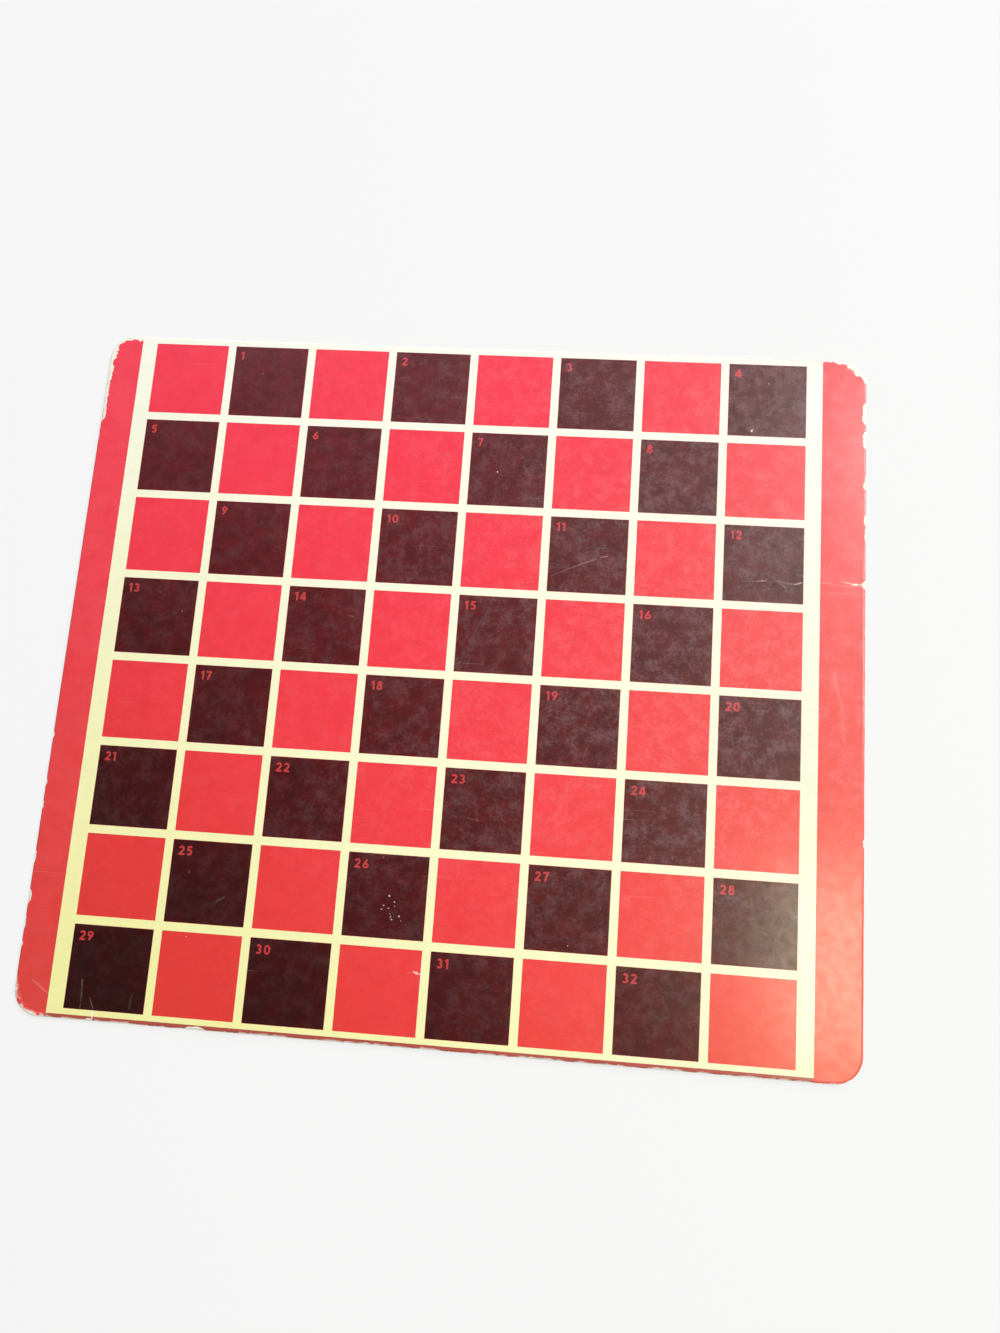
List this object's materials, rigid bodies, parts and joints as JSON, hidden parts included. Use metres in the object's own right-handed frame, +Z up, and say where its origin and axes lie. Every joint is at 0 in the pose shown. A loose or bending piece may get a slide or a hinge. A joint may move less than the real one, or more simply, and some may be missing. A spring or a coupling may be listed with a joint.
{
  "type": "two-sided game board",
  "caption": "Flat die-cut game board with rounded corners: a numbered red and dark draughts grid with cream lines on the face, a nine men's morris diagram on the back.",
  "frame": {"origin": "under the middle of the board, on the plane that it rests on", "axes": "+X to the right of a player at the near edge, +Y away from that player, +Z up out of the draughts face"},
  "size_m": [0.35, 0.3088, 0.0027],
  "materials": {
    "pulp_board": "raw die-cut edge of grey-tan pulp board",
    "red_print": "satin-varnished red litho print",
    "dark_print": "satin-varnished maroon-brown litho print, cloudy",
    "cream_print": "satin-varnished cream litho print"
  },
  "bodies": {
    "root": {"core_board": "pulp_board", "face_sheet": "red_print", "back_sheet": "red_print", "cream_grid": "cream_print", "morris_lines": "cream_print", "dark_square_01": "dark_print", "dark_square_02": "dark_print", "dark_square_03": "dark_print", "dark_square_04": "dark_print", "dark_square_05": "dark_print", "dark_square_06": "dark_print", "dark_square_07": "dark_print", "dark_square_08": "dark_print", "dark_square_09": "dark_print", "dark_square_10": "dark_print", "dark_square_11": "dark_print", "dark_square_12": "dark_print", "dark_square_13": "dark_print", "dark_square_14": "dark_print", "dark_square_15": "dark_print", "dark_square_16": "dark_print", "dark_square_17": "dark_print", "dark_square_18": "dark_print", "dark_square_19": "dark_print", "dark_square_20": "dark_print", "dark_square_21": "dark_print", "dark_square_22": "dark_print", "dark_square_23": "dark_print", "dark_square_24": "dark_print", "dark_square_25": "dark_print", "dark_square_26": "dark_print", "dark_square_27": "dark_print", "dark_square_28": "dark_print", "dark_square_29": "dark_print", "dark_square_30": "dark_print", "dark_square_31": "dark_print", "dark_square_32": "dark_print"}
  },
  "joints": []
}
